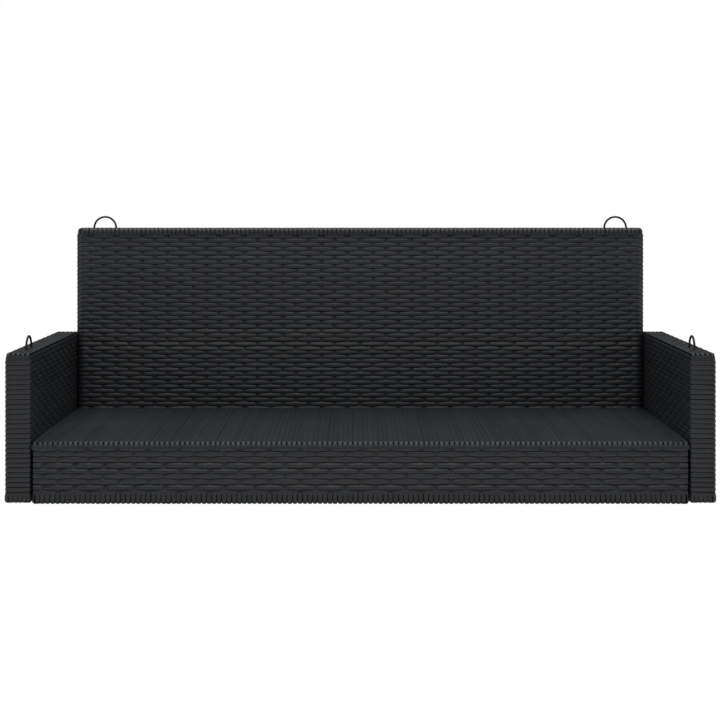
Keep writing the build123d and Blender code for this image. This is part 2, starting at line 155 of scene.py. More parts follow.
# ---- the rims ----
RIM_WRAP = 0.01106          # pitch of the wraps
RIM_LAP = 1.05              # a wrap's width, as a share of that
RIM_GAP_WIDTH = 0.0096      # wraps on the bottom rims, which stand a little apart
RIM_CROWN = 0.0004
RIM_EDGE = 0.0090           # bend of a wrap over a top rim's edge
UNDER_EDGE = 0.0045         # the same round an underside
DRAW_START = 0.0005         # how far from an edge the wraps start to widen
DRAW_REACH = 0.0020         # and over about what length
FAN_TAPER = 0.5             # how much narrower the fans' wraps are at their inner ends
MOUTH_BEND = 0.002          # where a wrap turns in behind the weave
TUCK = 0.0016               # how far in it goes
TAIL = 0.004                # and how far on
TOP_PROUD = 0.0030          # how far the back's and arms' tops stand above the CAD skin
UNDER_PROUD = 0.0005        # and their undersides below it

# Rows, counted from the lowest, whose front leans up enough to catch the light, and by how much.
BACK_LEANS = {25: 0.22, 26: 0.18, 28: 0.10, 29: 0.12}
APRON_LEANS = {1: 0.21, 4: 0.24, 5: 0.19}

# A strip's section: across, as a share of its width, and up, as shares of crown and thickness.
SECTION_ACROSS = np.array([-0.50, -0.31, 0.0, 0.31, 0.50, 0.36, -0.36])
SECTION_CROWN = np.array([0.0, 0.70, 1.0, 0.70, 0.0, 0.25, 0.25])
SECTION_THICK = np.array([0.0, 0.5, 0.5, 0.5, 0.0, -0.5, -0.5])
END_TRIANGLES = np.array([(0, 1, 6), (1, 2, 6), (2, 5, 6), (2, 3, 5), (3, 4, 5)])
SECTION_GIRTH = 0.024       # about the way round a strip's section


# ---- strips as meshes ----
def unit(vectors):
    return vectors / np.maximum(np.linalg.norm(vectors, axis=-1, keepdims=True), 1e-12)


def wobble(rng, along, size, wavelength):
    """A smooth, seeded wander along a strip, about +-size."""
    total = np.zeros_like(along)
    for share, stretch in ((0.6, 1.0), (0.3, 0.43), (0.2, 0.19)):
        phase = rng.uniform(0, 2 * math.pi)
        total += share * np.sin(2 * math.pi * along / (wavelength * stretch) + phase)
    return size * total


class Strips:
    """Collects flat strips and turns them into one mesh."""

    def __init__(self, seed):
        self.rng = np.random.default_rng(seed)
        self.verts, self.quads, self.ends, self.shades = [], [], [], []
        self.quad_maps, self.end_maps = [], []
        self.count = 0

    def add(self, path, outward, width, thickness=STRIP_THICKNESS, crown=STRIP_CROWN,
            closed=False, twist=0.0):
        """One strip along path, which has a point and an outward direction for each sample."""
        n, m = len(path), len(SECTION_ACROSS)
        ahead, behind = np.roll(path, -1, axis=0), np.roll(path, 1, axis=0)
        if not closed:
            ahead[-1], behind[0] = path[-1], path[0]
        tangent = unit(ahead - behind)
        across = unit(np.cross(outward, tangent))
        up = np.cross(tangent, across)
        turn = np.broadcast_to(twist, n)[:, None]
        across, up = (across * np.cos(turn) + up * np.sin(turn),
                      up * np.cos(turn) - across * np.sin(turn))
        side = SECTION_ACROSS[None, :] * np.broadcast_to(width, n)[:, None]
        rise = SECTION_CROWN * np.broadcast_to(crown, n)[:, None] + SECTION_THICK * thickness
        ring = path[:, None, :] + across[:, None, :] * side[:, :, None] + up[:, None, :] * rise[:, :, None]
        self.verts.append(ring.reshape(-1, 3))

        along = np.concatenate([[0.0], np.cumsum(np.linalg.norm(ahead - path, axis=1))])
        rows = np.arange(n if closed else n - 1)
        i, j = np.meshgrid(rows, np.arange(m), indexing="ij")
        i_next, j_next = (i + 1) % n, (j + 1) % m
        quads = np.stack([i * m + j, i_next * m + j, i_next * m + j_next, i * m + j_next], axis=-1)
        self.quads.append(quads.reshape(-1, 4) + self.count)
        low_u, high_u, low_v, high_v = along[i], along[i + 1], j / m, (j + 1) / m
        corners = ((low_u, low_v), (high_u, low_v), (high_u, high_v), (low_u, high_v))
        self.quad_maps.append(np.stack([np.stack(c, axis=-1) for c in corners], axis=2).reshape(-1, 4, 2))
        ends = np.zeros((0, 3), dtype=int)
        if not closed:
            ends = np.concatenate([END_TRIANGLES, END_TRIANGLES[:, ::-1] + (n - 1) * m])
        self.ends.append(ends + self.count)
        self.end_maps.append(np.stack([along[ends // m], (ends % m) / m], axis=-1))
        self.shades.append(np.full(n * m, self.rng.uniform(0, 1)))
        self.count += n * m

    def mesh_object(self, name, material):
        verts, quads, ends = (np.concatenate(part) for part in (self.verts, self.quads, self.ends))
        corners = np.concatenate([quads.ravel(), ends.ravel()])
        starts = np.concatenate([4 * np.arange(len(quads)), 4 * len(quads) + 3 * np.arange(len(ends))])
        mesh = bpy.data.meshes.new(name)
        mesh.vertices.add(len(verts))
        mesh.vertices.foreach_set("co", verts.astype(np.float32).ravel())
        mesh.loops.add(len(corners))
        mesh.loops.foreach_set("vertex_index", corners.astype(np.int32))
        mesh.polygons.add(len(starts))
        mesh.polygons.foreach_set("loop_start", starts.astype(np.int32))
        mesh.polygons.foreach_set("use_smooth", np.arange(len(starts)) < len(quads))
        mesh.update(calc_edges=True)
        grain = mesh.uv_layers.new(name="strip")
        grain.data.foreach_set("uv", self.map_of(lambda uv, k: uv))
        baked = mesh.uv_layers.new(name="OFBake")
        baked.data.foreach_set("uv", self.map_of(self.cell_of))
        shade = mesh.attributes.new("shade", "FLOAT", "POINT")
        shade.data.foreach_set("value", np.concatenate(self.shades).astype(np.float32))
        mesh.materials.append(material)
        piece = bpy.data.objects.new(name, mesh)
        bpy.context.scene.collection.objects.link(piece)
        return piece

    def map_of(self, change):
        """A UV map made from each strip's own: metres along it, and the share of the way round it."""
        quads = [change(uv, k).reshape(-1, 2) for k, uv in enumerate(self.quad_maps)]
        ends = [change(uv, k).reshape(-1, 2) for k, uv in enumerate(self.end_maps)]
        return np.concatenate(quads + ends).astype(np.float32).ravel()

    def cell_of(self, uv, k):
        """Each strip in a cell of its own, in rows and columns."""
        longest = max(part[..., 0].max() for part in self.quad_maps)
        columns = max(1, round(math.sqrt(len(self.quad_maps) * SECTION_GIRTH / longest)))
        rows = math.ceil(len(self.quad_maps) / columns)
        return np.stack([(k % columns + 0.01 + 0.98 * uv[..., 0] / longest) / columns,
                         (k // columns + 0.04 + 0.92 * uv[..., 1]) / rows], axis=-1)


def place(piece, slot, *nodes):
    """The piece rides on the bench and stands for those CAD nodes, which it hides. The slot is not used."""
    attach(piece, "root")
    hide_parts(*nodes)
    return piece


# ---- materials ----
STRIP_DARK, STRIP_LIGHT = (0.0120, 0.0130, 0.0150), (0.0228, 0.0246, 0.0280)
# The warps' two colours are darker than the strips': painted shade, for where the warps lie sunk under the
# wefts and under the seat.
WARP_SHADED_DARK, WARP_SHADED_LIGHT = (0.0075, 0.0081, 0.0094), (0.0130, 0.0140, 0.0160)
SHADE_SHARE = 0.45          # how much of a strip's tone is its own; the rest is its grain
GRAIN_SCALE = (14.0, 34.0, 1.0)    # per metre along the strip, and round it
SMOOTHER, ROUGHER = 0.08, 0.10     # how far a strip's roughness wanders


def shader(name, roughness, specular=0.5):
    material = bpy.data.materials.new(name)
    material.use_nodes = True
    nodes, links = material.node_tree.nodes, material.node_tree.links
    principled = nodes["Principled BSDF"]
    principled.inputs["Roughness"].default_value = roughness
    principled.inputs["Specular IOR Level"].default_value = specular
    return material, nodes, links, principled


def add_node(nodes, kind, **settings):
    node = nodes.new(kind)
    for key, value in settings.items():
        if key in node.inputs:
            node.inputs[key].default_value = value
        else:
            setattr(node, key, value)
    return node


def woven_strip(name, dark, light, roughness, specular=0.5):
    """Extruded polyethylene strip: satin, with a fine grain, and a little different from strip to
    strip, between the dark colour and the light one."""
    material, nodes, links, principled = shader(name, roughness, specular)
    strip = add_node(nodes, "ShaderNodeUVMap", uv_map="strip")
    stretch = add_node(nodes, "ShaderNodeMapping")
    stretch.inputs["Scale"].default_value = GRAIN_SCALE
    links.new(strip.outputs["UV"], stretch.inputs["Vector"])
    grain = add_node(nodes, "ShaderNodeTexNoise", Scale=1.0, Detail=3.0, Roughness=0.6)
    links.new(stretch.outputs["Vector"], grain.inputs["Vector"])
    coords = add_node(nodes, "ShaderNodeTexCoord")
    cloud = add_node(nodes, "ShaderNodeTexNoise", Scale=9.0, Detail=2.0, Roughness=0.5)
    links.new(coords.outputs["Object"], cloud.inputs["Vector"])
    shade = add_node(nodes, "ShaderNodeAttribute", attribute_name="shade")
    mix_value = add_node(nodes, "ShaderNodeMath", operation="MULTIPLY_ADD")
    mix_value.inputs[1].default_value = SHADE_SHARE
    links.new(shade.outputs["Fac"], mix_value.inputs[0])
    grain_part = add_node(nodes, "ShaderNodeMath", operation="MULTIPLY")
    grain_part.inputs[1].default_value = 1 - SHADE_SHARE
    links.new(grain.outputs["Fac"], grain_part.inputs[0])
    links.new(grain_part.outputs[0], mix_value.inputs[2])
    colour = add_node(nodes, "ShaderNodeMix", data_type="RGBA")
    colour.inputs["A"].default_value = (*dark, 1.0)
    colour.inputs["B"].default_value = (*light, 1.0)
    links.new(mix_value.outputs[0], colour.inputs["Factor"])
    links.new(colour.outputs["Result"], principled.inputs["Base Color"])
    rough = add_node(nodes, "ShaderNodeMapRange")
    rough.inputs["To Min"].default_value = roughness - SMOOTHER
    rough.inputs["To Max"].default_value = roughness + ROUGHER
    links.new(cloud.outputs["Fac"], rough.inputs["Value"])
    links.new(rough.outputs["Result"], principled.inputs["Roughness"])
    bump = add_node(nodes, "ShaderNodeBump", Strength=0.35, Distance=0.0004)
    links.new(grain.outputs["Fac"], bump.inputs["Height"])
    links.new(bump.outputs["Normal"], principled.inputs["Normal"])
    return material


def powder_coat(name, colour, roughness, texture, specular=0.5):
    """Baked powder coat: a faint orange peel."""
    material, nodes, links, principled = shader(name, roughness, specular)
    coords = add_node(nodes, "ShaderNodeTexCoord")
    peel = add_node(nodes, "ShaderNodeTexNoise", Scale=900.0, Detail=2.0, Roughness=0.5)
    wear = add_node(nodes, "ShaderNodeTexNoise", Scale=30.0, Detail=4.0, Roughness=0.6)
    for node in (peel, wear):
        links.new(coords.outputs["Object"], node.inputs["Vector"])
    tone = add_node(nodes, "ShaderNodeMix", data_type="RGBA")
    tone.inputs["A"].default_value = (*[0.8 * c for c in colour], 1.0)
    tone.inputs["B"].default_value = (*[1.25 * c for c in colour], 1.0)
    links.new(wear.outputs["Fac"], tone.inputs["Factor"])
    links.new(tone.outputs["Result"], principled.inputs["Base Color"])
    bump = add_node(nodes, "ShaderNodeBump", Strength=texture, Distance=0.0003)
    links.new(peel.outputs["Fac"], bump.inputs["Height"])
    links.new(bump.outputs["Normal"], principled.inputs["Normal"])
    return material


def zinc_plate(name):
    """Bright zinc plating with a cloudy, slightly brushed look."""
    material, nodes, links, principled = shader(name, 0.32)
    principled.inputs["Metallic"].default_value = 1.0
    coords = add_node(nodes, "ShaderNodeTexCoord")
    cloud = add_node(nodes, "ShaderNodeTexNoise", Scale=220.0, Detail=3.0, Roughness=0.6)
    links.new(coords.outputs["Object"], cloud.inputs["Vector"])
    tone = add_node(nodes, "ShaderNodeMix", data_type="RGBA")
    tone.inputs["A"].default_value = (0.50, 0.51, 0.52, 1.0)
    tone.inputs["B"].default_value = (0.66, 0.66, 0.65, 1.0)
    links.new(cloud.outputs["Fac"], tone.inputs["Factor"])
    links.new(tone.outputs["Result"], principled.inputs["Base Color"])
    bump = add_node(nodes, "ShaderNodeBump", Strength=0.15, Distance=0.0002)
    links.new(cloud.outputs["Fac"], bump.inputs["Height"])
    links.new(bump.outputs["Normal"], principled.inputs["Normal"])
    return material


STRIP = woven_strip("woven_strip", STRIP_DARK, STRIP_LIGHT, 0.35)
WORN_STRIP = woven_strip("worn_strip", STRIP_DARK, STRIP_LIGHT, 0.46, 0.40)
# Warps and the seat's cross strips: their darker colours are painted shade for lying under the wefts and
# the seat.
SHADED_WARP = woven_strip("warp_strip_painted_shade", WARP_SHADED_DARK, WARP_SHADED_LIGHT, 0.50)
POWDER = powder_coat("frame_powder_coat", (0.012, 0.012, 0.0125), 0.45, 0.25)
LOOP_COAT = powder_coat("loop_powder_coat", (0.006, 0.006, 0.0065), 0.42, 0.12, 0.3)
ZINC = zinc_plate("zinc_plating")

SLOT_MATERIALS = {"frame_steel": POWDER, "loop_steel": LOOP_COAT, "plated_steel": ZINC,
                  "woven_panel": STRIP, "woven_rim": STRIP}
for row in frame["record"]["subparts"]:
    node = frame["nodes"][row["node"]]
    node.data.materials.clear()
    node.data.materials.append(SLOT_MATERIALS[row["material_slot"]])


# ---- outlines ----
SAMPLE_SHARES = np.array([0.0, 0.09, 0.19, 0.32, 0.5, 0.68, 0.81, 0.91])
ARC_STEP = math.radians(13)
FACE_NAMES = ("right", "front", "left", "rear")    # the straights of corners_of, in order


def even_places(low, high, pitch):
    """Places at about a pitch, the first and last half a pitch from the ends."""
    count = max(1, round((high - low) / pitch))
    return low + (np.arange(count) + 0.5) * (high - low) / count


def samples_between(length, warps):
    """Places along a weft: close together where it crosses warps, and its two ends."""
    pitch = warps[1] - warps[0]
    first = warps[0] - pitch * math.ceil(warps[0] / pitch)
    steps = np.arange(len(warps) + 3)
    found = (first + pitch * (steps[:, None] + SAMPLE_SHARES[None, :])).ravel()
    found = found[(found > 0.001) & (found < length - 0.001)]
    return np.concatenate([[0.0], found, [length]])


def outline(corners, radii, closed=False, step=0.006, warps=None):
    """A path through corners, each rounded, with outward to its left. Gives for each point: its place,
    its outward direction, the number of the straight it is on (-1 on a bend) and how far along that."""
    corners = np.array(corners, float)
    count = len(corners)
    straights = count if closed else count - 1
    way = unit(np.roll(corners, -1, axis=0) - corners)[:straights]
    left = np.stack([-way[:, 1], way[:, 0]], axis=1)
    heading = np.arctan2(left[:, 1], left[:, 0])
    turns = (heading[(np.arange(straights) + 1) % straights] - heading + math.pi) % (2 * math.pi) - math.pi
    radii = np.broadcast_to(radii, straights).astype(float)
    trims = np.abs(np.tan(turns / 2)) * radii
    if not closed:
        trims[-1] = 0.0
    points, outward, number, place_along = [], [], [], []
    for k in range(straights):
        before = trims[k - 1] if closed or k > 0 else 0.0
        length = np.linalg.norm(corners[(k + 1) % count] - corners[k]) - before - trims[k]
        places = np.linspace(0, length, max(2, round(length / step) + 1))
        if length < 0.001:
            places = np.array([length / 2])
        elif warps is not None and k in warps:
            places = samples_between(length, warps[k])
        points.append(corners[k] + way[k] * (before + places[:, None]))
        outward.append(np.broadcast_to(left[k], (len(places), 2)))
        number.append(np.full(len(places), k))
        place_along.append(places)
        if closed or k < straights - 1:
            sense = math.copysign(1.0, turns[k])
            centre = corners[k] + way[k] * (before + length) + sense * radii[k] * left[k]
            bits = max(2, round(abs(turns[k]) / ARC_STEP))
            angles = heading[k] + turns[k] * np.arange(1, bits) / bits
            round_way = np.stack([np.cos(angles), np.sin(angles)], axis=1)
            points.append(centre - sense * radii[k] * round_way)
            outward.append(round_way)
            number.append(np.full(bits - 1, -1))
            place_along.append(np.zeros(bits - 1))
    return (np.concatenate(points), np.concatenate(outward),
            np.concatenate(number), np.concatenate(place_along))


def corners_of(low, high, inset, press=0.0):
    """The plan of a box, clockwise from its rear right, so that outward is to the left.
    press widens it in x, where the weave is pushed against its neighbour."""
    right, left = high.x - inset + press, low.x + inset - press
    front, rear = low.y + inset, high.y - inset
    return [(right, rear), (right, front), (left, front), (left, rear)]


def lay_flat(flat, z):
    return np.column_stack([flat, np.broadcast_to(z, len(flat))])


def run_length(points):
    return np.concatenate([[0.0], np.cumsum(np.linalg.norm(np.diff(points, axis=0), axis=1))])


# ---- weave patterns ----
def over_and_under(along, warps, parity, depth=1.0):
    """A weft's height as it crosses alternate warps, and how near each point is, from 0 to 1, to a warp
    that it passes over and to one that it passes under."""
    numbers = np.arange(len(warps))
    over = warps[(numbers + parity) % 2 == 0]
    under = warps[(numbers + parity) % 2 == 1]
    rise = np.exp(-((along[:, None] - over[None, :]) / OVER_REACH) ** 2).sum(axis=1)
    dip = np.exp(-((along[:, None] - under[None, :]) / UNDER_REACH) ** 2).sum(axis=1)
    spread = np.exp(-((along[:, None] - over[None, :]) / SPREAD_REACH) ** 2).sum(axis=1)
    return depth * (WEFT_PLATEAU + OVER_RISE * rise - UNDER_DIP * dip), spread, dip


def weft_width(pitch, spread, dip):
    """Wefts lap over each other, and are widest over a warp, so the rows bulge in turn."""
    return pitch * (WEFT_LAP + WEFT_SPREAD * spread - WEFT_DRAW * dip)


def add_warp(strips, start, along, outward, pitch, count, parity):
    """A warp that crosses count wefts from start, out over each one that dives under it."""
    steps = np.arange(4 * count + 1) / 4
    lift = WARP_SWING * np.sin(math.pi * steps) * (1 if parity else -1)
    path = start + along * (steps * pitch)[:, None] + outward * lift[:, None]
    strips.add(path, np.broadcast_to(outward, path.shape), WARP_WIDTH, WARP_THICKNESS, WARP_CROWN)


def woven_wall(name, slot, nodes, corners, radius, closed, low, high, row_pitch, warp_pitch, woven_sides,
               seed, bands=1, crown=STRIP_CROWN, leans=None):
    """Wefts round an upright wall or sleeve, over and under upright warps on its woven sides.
    The sides are numbered as FACE_NAMES has them, and leans has the rows that lean up at the front."""
    rows = round((high - low) / row_pitch)
    pitch = (high - low) / rows
    plain = outline(corners, radius, closed)
    warps = {}
    for number in woven_sides:
        warps[number] = even_places(0.0, plain[3][plain[2] == number].max(), warp_pitch)
    flat, outward, side, place_along = outline(corners, radius, closed, warps=warps)
    along = run_length(flat)
    facing = lay_flat(outward, 0.0)
    for band in range(bands):
        strips = Strips(seed + band)
        for row in range(band * rows // bands, (band + 1) * rows // bands):
            height = np.full(len(flat), WEFT_PLATEAU)
            spread = np.zeros(len(flat))
            dip = np.zeros(len(flat))
            for number in woven_sides:
                here = side == number
                crossing = over_and_under(place_along[here], warps[number], row)
                height[here], spread[here], dip[here] = crossing
            z = low + (row + 0.5) * pitch
            twist = wobble(strips.rng, along, WEFT_TWIST, 0.23) + strips.rng.normal(0, ROW_TWIST)
            if leans is not None and row in leans:
                twist = twist + leans[row] * np.clip(-outward[:, 1], 0, 1)
            wander = wobble(strips.rng, along, WEFT_WANDER, 0.31)
            path = lay_flat(flat + outward * height[:, None], z + wander)
            strips.add(path, facing, weft_width(pitch, spread, dip), crown=crown * (1 - WEFT_FLATTEN * dip),
                       closed=closed, twist=twist)
        band_name = f"{name}_{band + 1}" if bands > 1 else name
        place(strips.mesh_object(band_name, STRIP), slot, *nodes)
    for number in woven_sides:
        strips = Strips(seed + 50 + number)
        on_side = np.flatnonzero(side == number)
        for k, warp_at in enumerate(warps[number]):
            nearest = on_side[np.argmin(np.abs(place_along[on_side] - warp_at))]
            start = np.array([*flat[nearest], low])
            add_warp(strips, start, np.array([0.0, 0.0, 1.0]), facing[nearest], pitch, rows, k % 2 == 1)
        face = FACE_NAMES[number]
        place(strips.mesh_object(f"{name}_warps_{face}", SHADED_WARP), slot, *nodes)


def add_wraps(strips, section, places, axis, width, thickness=STRIP_THICKNESS, crown=STRIP_CROWN,
              narrow=None):
    """The same bent strip at each place along axis 0 or 1; the section is in the other axis and Z."""
    flat, outward = section[0], section[1]
    for place_at in places:
        path = np.insert(flat, axis, place_at, axis=1)
        facing = np.insert(outward, axis, 0.0, axis=1)
        along = run_length(path)
        path[:, axis] += wobble(strips.rng, along, WRAP_WANDER, 0.35)
        lift = strips.rng.normal(0, WRAP_LIFT)
        wide = width * strips.rng.uniform(0.98, 1.01)
        if narrow is not None:
            wide = wide * narrow
        strips.add(path + facing * lift, facing, wide, thickness, crown,
                   twist=strips.rng.normal(0, WRAP_TWIST))


# ---- the bench ----
def spans(*names):
    """The box round some CAD nodes."""
    boxes = [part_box(name) for name in names]
    low = Vector([min(b[0][k] for b in boxes) for k in range(3)])
    high = Vector([max(b[1][k] for b in boxes) for k in range(3)])
    return low, high


def rim_section(near, far, edge, depth, sign):
    """A wrap's section over a rim: up one face, across its top (sign 1) or underside (-1), and down the
    other face."""
    mouth = edge - sign * depth
    tail = mouth - sign * TAIL
    path = [(near + TUCK, tail), (near, mouth), (near, edge), (far, edge), (far, mouth), (far - TUCK, tail)]
    return path if sign > 0 else path[::-1]


def drawn_in(z, edge, wrap_width):
    """How much narrower a wrap is near the rim's edge than on its face."""
    away = np.maximum(np.abs(z - edge) - DRAW_START, 0)
    return 1.0 - (1.0 - wrap_width / RIM_WRAP) * np.exp(-(away / DRAW_REACH) ** 2)


def build_rim(name, node, low, high, long_axis, corner, depth, sign, wrap_width, thickness, crown, seed):
    """Wraps over the top or underside of an upright panel, and fans of them round its two ends."""
    short_axis = 1 - long_axis
    inset = thickness / 2 + crown
    bend = RIM_EDGE if sign > 0 else UNDER_EDGE
    edge = high.z - inset if sign > 0 else low.z + inset
    near, far = low[short_axis] + inset, high[short_axis] - inset
    strips = Strips(seed)
    section = outline(rim_section(near, far, edge, depth, sign),
                      (MOUTH_BEND, bend, bend, MOUTH_BEND, 0.0), step=0.006)
    places = even_places(low[long_axis] + corner, high[long_axis] - corner, RIM_WRAP)
    add_wraps(strips, section, places, long_axis, RIM_LAP * RIM_WRAP, thickness, crown,
              narrow=drawn_in(section[0][:, 1], edge, wrap_width))
    reach = min(corner, (far - near) / 2) if corner > 0.015 else 0.02
    mouth = edge - sign * depth
    fan = [(TUCK, mouth - sign * TAIL), (0.0, mouth), (0.0, edge), (reach, edge)]
    bent, facing, _, _ = outline(fan, (MOUTH_BEND, bend, 0.0), step=0.004)
    facing = facing * sign
    taper = 1.0 - FAN_TAPER * np.clip((bent[:, 0] - 0.004) / reach, 0, 1)
    taper = taper * drawn_in(bent[:, 1], edge, wrap_width)
    for end in (-1, 1):
        tip = (high if end > 0 else low)[long_axis] - end * inset
        start = tip - end * (corner - inset)
        corners = [(start, near), (tip, near), (tip, far), (start, far)]
        if long_axis == 1:
            corners = [(b, a) for a, b in corners]
        if turns_left(corners):
            corners = corners[::-1]
        flat, outward, _, _ = outline(corners, (corner - inset,) * 3, step=0.001)
        along = run_length(flat)
        for place_at in even_places(0.0, along[-1], RIM_WRAP):
            nearest = int(np.argmin(np.abs(along - place_at)))
            path = np.column_stack([flat[nearest] - outward[nearest] * bent[:, :1], bent[:, 1]])
            out = np.column_stack([-outward[nearest] * facing[:, :1], facing[:, 1]])
            strips.add(path, out, RIM_LAP * RIM_WRAP * taper, thickness, crown,
                       twist=strips.rng.normal(0, WRAP_TWIST))
    place(strips.mesh_object(name, STRIP), "woven_rim", node)


def turns_left(corners):
    """Whether a path in plan turns left at its first corner."""
    first = np.array(corners[1]) - corners[0]
    second = np.array(corners[2]) - corners[1]
    return first[0] * second[1] - first[1] * second[0] > 0


def build_back():
    """A woven sleeve round the back, between its top and bottom rims."""
    low, high = spans("back_rim_top", "back_rim_bottom")
    high.z += TOP_PROUD
    low.z -= UNDER_PROUD
    nodes = ("back_weave_front", "back_weave_rear", "back_edge_left", "back_edge_right")
    corners = corners_of(low, high, WEAVE_TOP, press=BACK_PRESS)
    corner = (high.y - low.y) / 2
    woven_wall("back_weave", "woven_panel", nodes, corners, corner - WEAVE_TOP - 0.00002, True,
               low.z + BACK_RIM_BOTTOM, high.z - BACK_RIM_TOP, BACK_ROW, BACK_WARP, (1, 3), seed=11,
               bands=BACK_BANDS, crown=BACK_CROWN, leans=BACK_LEANS)
    build_rim("back_rim_top_wraps", "back_rim_top", low, high, 0, corner, BACK_RIM_TOP, 1,
              0.98 * RIM_WRAP, STRIP_THICKNESS, RIM_CROWN, seed=21)
    build_rim("back_rim_bottom_wraps", "back_rim_bottom", low, high, 0, corner, BACK_RIM_BOTTOM, -1,
              RIM_GAP_WIDTH, WRAP_THICKNESS, RIM_CROWN, seed=22)


def nose_drop(y, front):
    """How far the seat has come down where it runs out to its front edge."""
    return NOSE_DROP * np.clip(1 - (y - front) / NOSE_RUN, 0, 1)


def build_seat():
    """Strips from behind the apron, up over the front edge, back over the seat and down its rear."""
    low, high = spans("seat_weave", "seat_nosing", "apron_weave", "apron_rim_bottom")
    inset = STRIP_THICKNESS / 2 + FLAT_CROWN
    top, front, rear = high.z - inset, low.y + inset - NOSE_PROUD, high.y - inset
    mouth = high.z - NOSE_DEPTH
    path = [(front + NOSE_TUCK, mouth - NOSE_TAIL), (front, mouth), (front, top - NOSE_DROP),
            (front + NOSE_RUN, top), (rear, top), (rear, high.z - REAR_DEPTH)]
    section = outline(path, (MOUTH_BEND, NOSE_BEND, NOSE_EASE, REAR_BEND, 0.0), step=0.011)
    gap_at = (front + 0.004, top - NOSE_DROP - 0.0025)
    away = np.hypot(section[0][:, 0] - gap_at[0], section[0][:, 1] - gap_at[1])
    narrow = 1.0 - NOSE_GAP * np.exp(-(away / NOSE_GAP_REACH) ** 2)
    places = even_places(low.x, high.x, SEAT_STRIP)
    half = len(places) // 2
    for name, part, seed in (("left", places[:half], 61), ("right", places[half:], 62)):
        strips = Strips(seed)
        add_wraps(strips, section, part, 0, SEAT_LAP * (places[1] - places[0]), SEAT_THICKNESS,
                  FLAT_CROWN, narrow=narrow)
        place(strips.mesh_object(f"seat_strips_{name}", WORN_STRIP), "woven_panel",
              "seat_weave", "seat_nosing")
    strips = Strips(63)
    level = top - inset - CROSS_DEPTH
    for y in even_places(front + 0.015, rear, SEAT_CROSS):
        z = level - nose_drop(y, front)
        cross = outline([(low.x + 0.004, z), (high.x - 0.004, z)], (0.0,), step=0.03)
        add_wraps(strips, cross, [y], 1, SEAT_CROSS_WIDTH, crown=FLAT_CROWN)
    # The cross strips take the warps' darker colour, which is painted shade for lying under the seat
    # strips.
    place(strips.mesh_object("seat_cross_strips", SHADED_WARP), "woven_panel", "seat_weave")
    build_seat_sides(front, level)


def build_seat_sides(front, level):
    """Short strips that run out to the seat's two side rails and are wrapped down over them."""
    for side, sign in (("left", -1), ("right", 1)):
        edge_low, edge_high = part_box(f"seat_side_weave_{side}")
        edge = max(abs(edge_low[0]), abs(edge_high[0])) - 0.0014
        strips = Strips(64 if sign < 0 else 65)
        for y in even_places(edge_low[1], edge_high[1], RIM_WRAP):
            z = level - nose_drop(y, front)
            path = [(sign * (edge - SIDE_TURN), z), (sign * edge, z), (sign * edge, edge_low[2])]
            if sign < 0:
                path = path[::-1]
            add_wraps(strips, outline(path, (0.005, 0.0), step=0.01), [y], 1, 0.98 * RIM_WRAP,
                      crown=RIM_CROWN)
        place(strips.mesh_object(f"seat_side_wraps_{side}", STRIP), "woven_panel",
              f"seat_side_weave_{side}")


def build_apron():
    """The woven panel under the seat's front edge."""
    low, high = spans("apron_weave", "apron_rim_bottom")
    low.z -= APRON_DROP
    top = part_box("seat_nosing")[1][2] - APRON_BELOW_NOSE
    corners = corners_of(low, high, WEAVE_TOP)
    woven_wall("apron_weave_strips", "woven_panel", ("apron_weave",), corners, 0.004, False,
               low.z + APRON_RIM, top, APRON_ROW, APRON_WARP, (1,), seed=71, leans=APRON_LEANS)
    build_rim("apron_rim_wraps", "apron_rim_bottom", low, high, 0, APRON_CORNER, APRON_RIM, -1,
              RIM_GAP_WIDTH, WRAP_THICKNESS, RIM_CROWN, seed=72)


def build_arm(side, seed):
    """A woven sleeve round the arm, with a wrapped underside and its top strips."""
    low, high = spans(f"arm_{side}_rim_top", f"arm_{side}_rim_bottom")
    high.z += TOP_PROUD
    low.z -= UNDER_PROUD
    if side == "left":
        low.x -= ARM_SIDE_PROUD
    else:
        high.x += ARM_SIDE_PROUD
    nodes = [f"arm_{side}_weave_{face}" for face in ("outer", "inner", "front", "rear")]
    corners = corners_of(low, high, WEAVE_TOP)
    woven_wall(f"arm_{side}_weave", "woven_panel", nodes, corners, ARM_CORNER - WEAVE_TOP, True,
               low.z + ARM_RIM_BOTTOM, high.z - ARM_RIM_TOP, ARM_ROW, ARM_WARP, (0, 2), seed=seed)
    build_rim(f"arm_{side}_rim_bottom_wraps", f"arm_{side}_rim_bottom", low, high, 1, ARM_CORNER,
              ARM_RIM_BOTTOM, -1, RIM_GAP_WIDTH, WRAP_THICKNESS, RIM_CROWN, seed + 3)
    build_arm_top(side, low, high, seed + 4)


